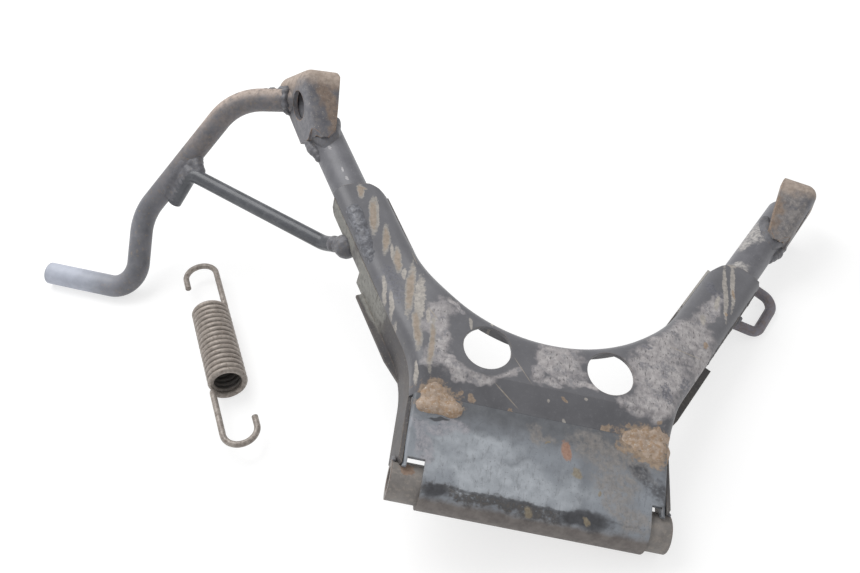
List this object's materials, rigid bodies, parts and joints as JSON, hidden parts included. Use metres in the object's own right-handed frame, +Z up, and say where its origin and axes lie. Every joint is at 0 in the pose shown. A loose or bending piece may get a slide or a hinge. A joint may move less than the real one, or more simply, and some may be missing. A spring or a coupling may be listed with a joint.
{
  "type": "kickstand",
  "caption": "Pressed-steel scooter centre stand with splayed tubular legs, cross pivot tube, skid feet, foot lever and a loose coil return spring beside it.",
  "frame": {"origin": "centre of the bounding box in plan, on the surface that the stand and its spring lie on", "axes": "+X to the right along the stand's widest extent, from the foot lever to the other foot; +Y from the pivot tube towards the feet; +Z up from the surface"},
  "size_m": [0.5322, 0.2802, 0.1364],
  "materials": {
    "worn_black_paint": "satin black paint, scuffed to grey and rusty at the edges",
    "worn_tube_metal": "worn dark paint over steel with brown rust film",
    "scuffed_foot_metal": "scraped grey steel with tan rust on the soles",
    "spring_steel": "tarnished spring wire, brown grey",
    "weld_metal": "rough weld bead with rust"
  },
  "bodies": {
    "stand": {"front_shell": "worn_black_paint", "left_rear_shell": "worn_black_paint", "right_rear_shell": "worn_black_paint", "apron_plate": "worn_black_paint", "pivot_tube": "worn_tube_metal", "left_leg_tube": "worn_tube_metal", "right_leg_tube": "worn_tube_metal", "left_foot_shoe": "scuffed_foot_metal", "right_foot_shoe": "scuffed_foot_metal", "foot_lever": "worn_tube_metal", "lever_brace": "worn_black_paint", "spring_eye": "worn_tube_metal", "left_crease_weld": "weld_metal", "right_crease_weld": "weld_metal", "left_seam_weld": "weld_metal", "right_seam_weld": "weld_metal", "left_foot_weld": "weld_metal", "right_foot_weld": "weld_metal", "left_pivot_weld": "weld_metal", "right_pivot_weld": "weld_metal", "lever_weld": "weld_metal", "brace_lever_weld": "weld_metal", "brace_leg_weld": "weld_metal", "spring_eye_welds": "weld_metal"},
    "spring": {"spring_coil": "spring_steel", "spring_fixed_hook": "spring_steel"},
    "spring_hook": {"spring_moving_hook": "spring_steel"}
  },
  "joints": [
    {"name": "spring_lift", "type": "slide", "parent": "stand", "child": "spring", "axis": [0, 0, 1], "range_m": [0, 0.15]},
    {"name": "spring_stretch", "type": "slide", "parent": "spring", "child": "spring_hook", "axis": [0.421, -0.907, 0], "range_m": [0, 0.04], "stiffness_N_per_m": 15000, "deforming": ["spring_coil"]}
  ]
}
